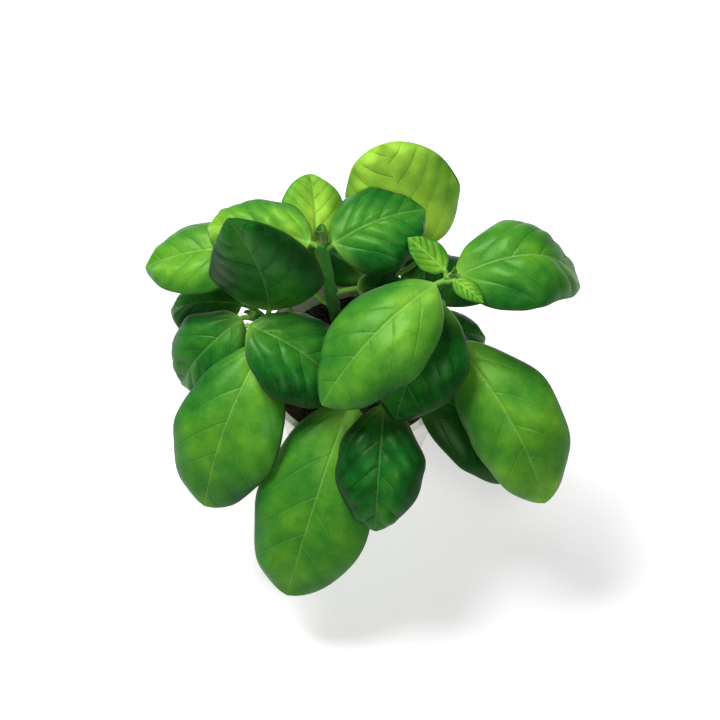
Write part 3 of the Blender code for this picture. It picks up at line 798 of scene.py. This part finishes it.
def leaf_finish(name, upper):
    """Leaf skin: green by tone, paler veins, a thin pale margin, waxy gloss above and a dull underside.

    Its depth of green is the tone shifted by clouds, mottles and grain.  On the upper face it falls
    towards the margin, painted shade of the edges that curl down, and dips in the grooves by the
    laterals, painted crease shade.
    A vein is a line where its distance is 0: the phase's from a whole number, or out from the midrib.
    """
    look = Finish(name)
    tone = look.value("tone")
    phase = look.value("phase")
    out = abs(look.value("out"))
    share = look.value("share")
    margin = look.value("margin")
    is_blade = look.value("is_blade")
    mottle = look.noise(LEAF_MOTTLES, 3.0, 0.6)
    grain = look.noise(LEAF_GRAIN, 2.0, 0.6)
    broad = look.noise(LEAF_CLOUDS, 2.0, 0.5)
    lateral = abs(phase - phase.math("ROUND"))
    midrib = look.line(out, 0.9 - 0.6 * share) * is_blade
    vein = look.line(lateral, 0.045) * (1 - margin * margin) * is_blade
    net = look.node("ShaderNodeTexVoronoi", {"feature": "DISTANCE_TO_EDGE"},
                    {"Vector": look.place(), "Scale": LEAF_NET})
    net = look.line(net, 0.22)
    if upper:
        swell = look.value("swell")
        groove = look.line(lateral, 0.08) * (1 - margin ** 3.0) * is_blade
        # painted shade: the green is a little darker in the grooves along the laterals and lighter on the
        # swellings
        depth = tone + 0.75 * (broad - 0.5) + 0.30 * (mottle - 0.5) + 0.07 * (swell - 0.7)
        # painted shade: the green darkens towards the margin, where the edges curl down away from the light
        depth = depth - 0.32 * margin ** 2.0 + 0.16 * grain - 0.01
        colour = look.ramp(depth, LEAF_GREENS)
        pale = 0.3 + 0.7 * tone
        colour = look.blend((0.22 * vein + 0.04 * net) * pale, colour, LATERAL_GREEN)
        colour = look.blend(0.45 * midrib * pale, colour, MIDRIB_GREEN)
        colour = look.blend(0.15 * margin ** 40.0, colour, MARGIN_GREEN)
        roughness = 0.26 + 0.20 * mottle + 0.35 * margin ** 12.0
        height = 0.25 * mottle + 0.15 * grain - 0.45 * groove - 0.04 * net
        normal = look.bump(height, 0.00040)
    else:
        depth = tone + 0.20 * (broad - 0.5) + 0.10 * (grain - 0.5)
        colour = look.ramp(depth, UNDERSIDE_GREENS)
        colour = look.blend(0.45 * vein + 0.2 * net + 0.6 * midrib, colour, UNDER_VEIN_GREEN)
        roughness = 0.62 + 0.1 * mottle
        height = 0.5 * vein + 0.3 * net
        normal = look.bump(height, 0.0003)
    skin = look.blend(is_blade, PETIOLE_GREEN, colour)
    look.set(Base_Color=skin, Roughness=roughness, Normal=normal)
    look.set(Specular_IOR_Level=0.19, Specular_Tint=LEAF_GLOSS_TINT)
    glow = look.blend(0.5, skin, SUNLIT_GREEN)
    through = look.node("ShaderNodeBsdfTranslucent", inputs={"Color": glow})
    surface = Link(look, look.shader.outputs[0])
    mixed = look.node("ShaderNodeMixShader", inputs=[LIGHT_THROUGH, surface, through])
    look.tree.links.new(mixed.socket, look.output.inputs["Surface"])
    return look.material


def stem_finish():
    """Green stem skin, browner near the soil and darkened all over as painted shade of the leaves above,
    with a fine speckled grain.
    """
    look = Finish("stem_skin", Specular_IOR_Level=0.2)
    height = look.value("height_share")
    speckle = look.noise(STEM_SPECKLES, 3.0, 0.6)
    colour = look.ramp(height + 0.25 * (speckle - 0.5), SHADED_STEM_GREENS)
    look.set(Base_Color=colour, Roughness=0.42 + 0.2 * speckle, Normal=look.bump(speckle, 0.0003))
    return look.material


def soil_finish():
    """Dark compost: brown fibres and black specks over dull lumps."""
    look = Finish("compost")
    fibre = look.noise(COMPOST_FIBRES, 4.0, 0.7)
    lump = look.noise(COMPOST_LUMPS, 3.0, 0.6)
    colour = look.ramp(0.6 * fibre + 0.5 * lump, COMPOST_BROWNS)
    look.set(Base_Color=colour, Roughness=0.85 + 0.15 * lump, Normal=look.bump(fibre + lump, 0.0008))
    return look.material


def pot_finish():
    """Off-white moulded plastic with a faint grain and a little dust near the foot."""
    look = Finish("pot_plastic", Coat_Weight=0.1, Coat_Roughness=0.3)
    grain = look.noise(POT_GRAIN, 2.0, 0.5)
    cloud = look.noise(POT_CLOUDS, 3.0, 0.5)
    height = look.node("ShaderNodeSeparateXYZ", inputs=[look.place()], output=2)
    dust = (1 - (height / DUST_HEIGHT).math("MINIMUM", 1.0)) * cloud
    colour = look.blend(0.35 * dust, POT_WHITE, POT_DUST)
    look.set(Base_Color=colour, Roughness=0.40 + 0.12 * cloud, Normal=look.bump(grain, 0.00012))
    return look.material


# ---- studio ------------------------------------------------------------------------------------
FLOOR_HALF = 3.0
FLOOR_GREY = 0.62
FLOOR_GLOW = 0.45
SKY_STRENGTH = 0.12

# The soft lights: place, width in metres and power in watts.
LIGHTS = {
    "top_light": ((-0.50, 0.42, 1.28), 0.7, 31.0),
    "front_fill": ((0.25, -0.8, 1.25), 0.6, 8.0),
}
LIGHT_TARGET = (0, 0, 0.1)

CAMERA_TARGET = (0.0013, -0.018, 0.105)
CAMERA_ELEVATION = 60.0     # degrees above level
CAMERA_DISTANCE = 1.10
CAMERA_LENS = 125.0         # mm, on a 36 mm wide sensor


def make_light(name):
    """A round soft light that looks at the middle of the plant."""
    place, width, power = LIGHTS[name]
    lamp = bpy.data.lights.new(name, "AREA")
    lamp.shape = "DISK"
    lamp.size = width
    lamp.energy = power
    item = bpy.data.objects.new(name, lamp)
    item.location = place
    away = np.array(place) - np.array(LIGHT_TARGET)
    flat = math.hypot(away[0], away[1])
    item.rotation_euler = (math.atan2(flat, away[2]), 0.0, math.atan2(away[0], -away[1]))
    bpy.context.scene.collection.objects.link(item)


def make_studio():
    """A white floor, a soft light above and behind, a weak fill in front, a pale sky and the camera."""
    floor_mesh = bpy.data.meshes.new("floor")
    corners = [(-FLOOR_HALF, -FLOOR_HALF, 0), (FLOOR_HALF, -FLOOR_HALF, 0),
               (FLOOR_HALF, FLOOR_HALF, 0), (-FLOOR_HALF, FLOOR_HALF, 0)]
    floor_mesh.from_pydata(corners, [], [(0, 1, 2, 3)])
    floor = bpy.data.objects.new("floor", floor_mesh)
    paper = Finish("floor_paper", Base_Color=(FLOOR_GREY, FLOOR_GREY, FLOOR_GREY), Roughness=0.9,
                   Emission_Color=(1.0, 1.0, 1.0), Emission_Strength=FLOOR_GLOW)
    floor_mesh.materials.append(paper.material)
    bpy.context.scene.collection.objects.link(floor)
    for light_name in LIGHTS:
        make_light(light_name)
    world = bpy.data.worlds.new("studio_sky")
    world.use_nodes = True
    world.node_tree.nodes["Background"].inputs["Color"].default_value = (1.0, 1.0, 1.0, 1.0)
    world.node_tree.nodes["Background"].inputs["Strength"].default_value = SKY_STRENGTH
    bpy.context.scene.world = world
    bpy.context.scene.view_settings.view_transform = "Standard"

    camera = bpy.data.cameras.new("camera")
    camera.lens = CAMERA_LENS
    camera.sensor_width = 36.0
    item = bpy.data.objects.new("camera", camera)
    elevation = math.radians(CAMERA_ELEVATION)
    back = np.array([0.0, -math.cos(elevation), math.sin(elevation)])
    item.location = np.array(CAMERA_TARGET) + CAMERA_DISTANCE * back
    item.rotation_euler = (0.5 * math.pi - elevation, 0.0, 0.0)
    bpy.context.scene.collection.objects.link(item)
    bpy.context.scene.camera = item


make_studio()
make_pot(pot_finish())
compost = soil_finish()
make_soil(compost)
make_crumbs(compost)
stem_skin = stem_finish()
for stem_name in STEMS:
    make_stem(stem_name, stem_skin)
leaf_finishes = [leaf_finish("leaf_upper", True), leaf_finish("leaf_under", False)]
for number, leaf_name in enumerate(LEAVES):
    make_leaf(leaf_name, leaf_finishes, 1000 + 17 * number)
for number, bud_name in enumerate(BUDS):
    make_bud(bud_name, leaf_finishes, 500 + 10 * number)
